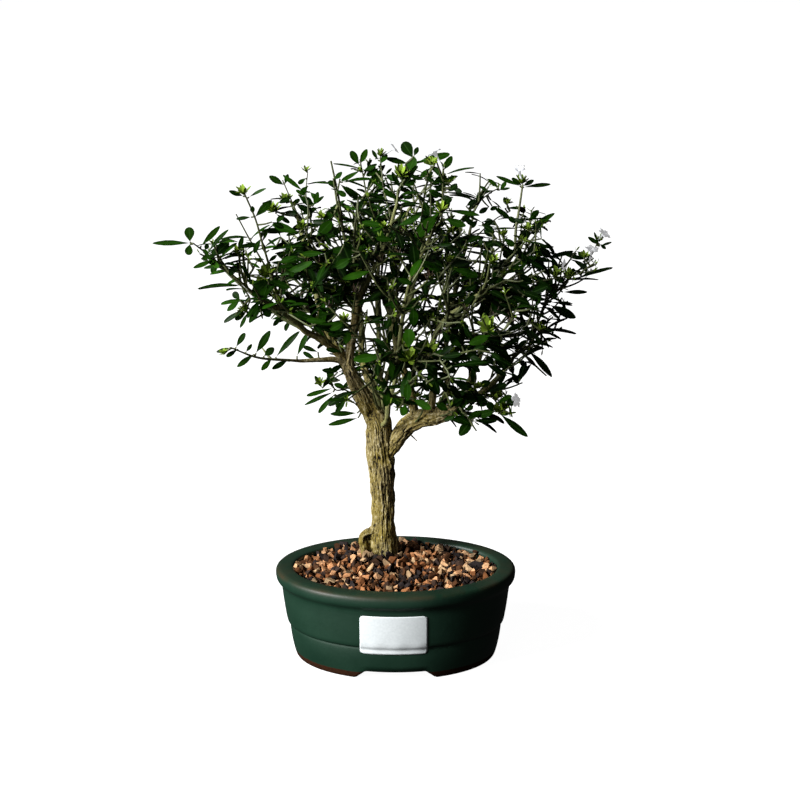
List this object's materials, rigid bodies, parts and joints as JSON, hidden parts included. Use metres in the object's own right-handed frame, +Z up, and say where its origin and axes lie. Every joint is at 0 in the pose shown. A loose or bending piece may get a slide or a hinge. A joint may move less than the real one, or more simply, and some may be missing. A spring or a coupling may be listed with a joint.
{
  "type": "potted serissa bonsai tree",
  "caption": "Small flowering bonsai with a furrowed trunk and a loose fan-shaped crown, planted under gravel in an oval glazed pot on two feet.",
  "frame": {"origin": "centre of the pot's underside, on the surface that the feet stand on", "axes": "+Z up the trunk, +X to the right along the oval pot's length as seen from the front, -Y towards the front, where the label is"},
  "size_m": [0.2879, 0.2399, 0.3351],
  "materials": {
    "pot_glaze": "satin",
    "drain_net": "matte",
    "potting_soil": "matte",
    "gravel_stone": "matte",
    "label_paper": "satin",
    "trunk_bark": "matte",
    "bough_bark": "matte",
    "green_leaf": "satin",
    "white_petal": "matte"
  },
  "bodies": {
    "root": {"pot": "pot_glaze", "drain_mesh_left": "drain_net", "drain_mesh_right": "drain_net", "soil": "potting_soil", "gravel": "gravel_stone", "label": "label_paper", "trunk": "trunk_bark", "bough_right": "bough_bark", "bough_left": "bough_bark", "bough_left_low": "bough_bark", "bough_left_back": "bough_bark", "bough_middle": "bough_bark", "bough_back_stems": "bough_bark", "bough_centre": "bough_bark", "bough_front": "bough_bark", "bough_back": "bough_bark", "flower_1": "white_petal", "flower_2": "white_petal", "flower_3": "white_petal", "flower_4": "white_petal", "flower_5": "white_petal", "flower_6": "white_petal", "flower_7": "white_petal", "spray_left_tip": "green_leaf", "spray_left_upper": "green_leaf", "spray_left_lower": "green_leaf", "spray_left_crest": "green_leaf", "spray_low_left": "green_leaf", "spray_left_back_tip": "green_leaf", "spray_left_back_upper": "green_leaf", "spray_left_back_lower": "green_leaf", "spray_middle_tip": "green_leaf", "spray_middle_side": "green_leaf", "spray_middle_left": "green_leaf", "spray_middle_low": "green_leaf", "spray_back_stems_tip": "green_leaf", "spray_back_stems_left": "green_leaf", "spray_back_stems_right": "green_leaf", "spray_back_stems_low": "green_leaf", "spray_centre_tip": "green_leaf", "spray_centre_rear": "green_leaf", "spray_front_tip": "green_leaf", "spray_front_low": "green_leaf", "spray_front_middle": "green_leaf", "spray_right_up_tip": "green_leaf", "spray_right_up_low": "green_leaf", "spray_right_rear_tip": "green_leaf", "spray_right_rear_up": "green_leaf", "spray_right_rear_low": "green_leaf", "spray_right_tall_tip": "green_leaf", "spray_right_tall_low": "green_leaf", "spray_far_right_tip": "green_leaf", "spray_far_right_up": "green_leaf", "spray_far_right_middle": "green_leaf", "spray_far_right_low": "green_leaf", "spray_right_cluster": "green_leaf", "spray_right_low": "green_leaf", "spray_trunk_left": "green_leaf", "spray_back_tip": "green_leaf", "spray_back_low": "green_leaf"}
  },
  "joints": []
}
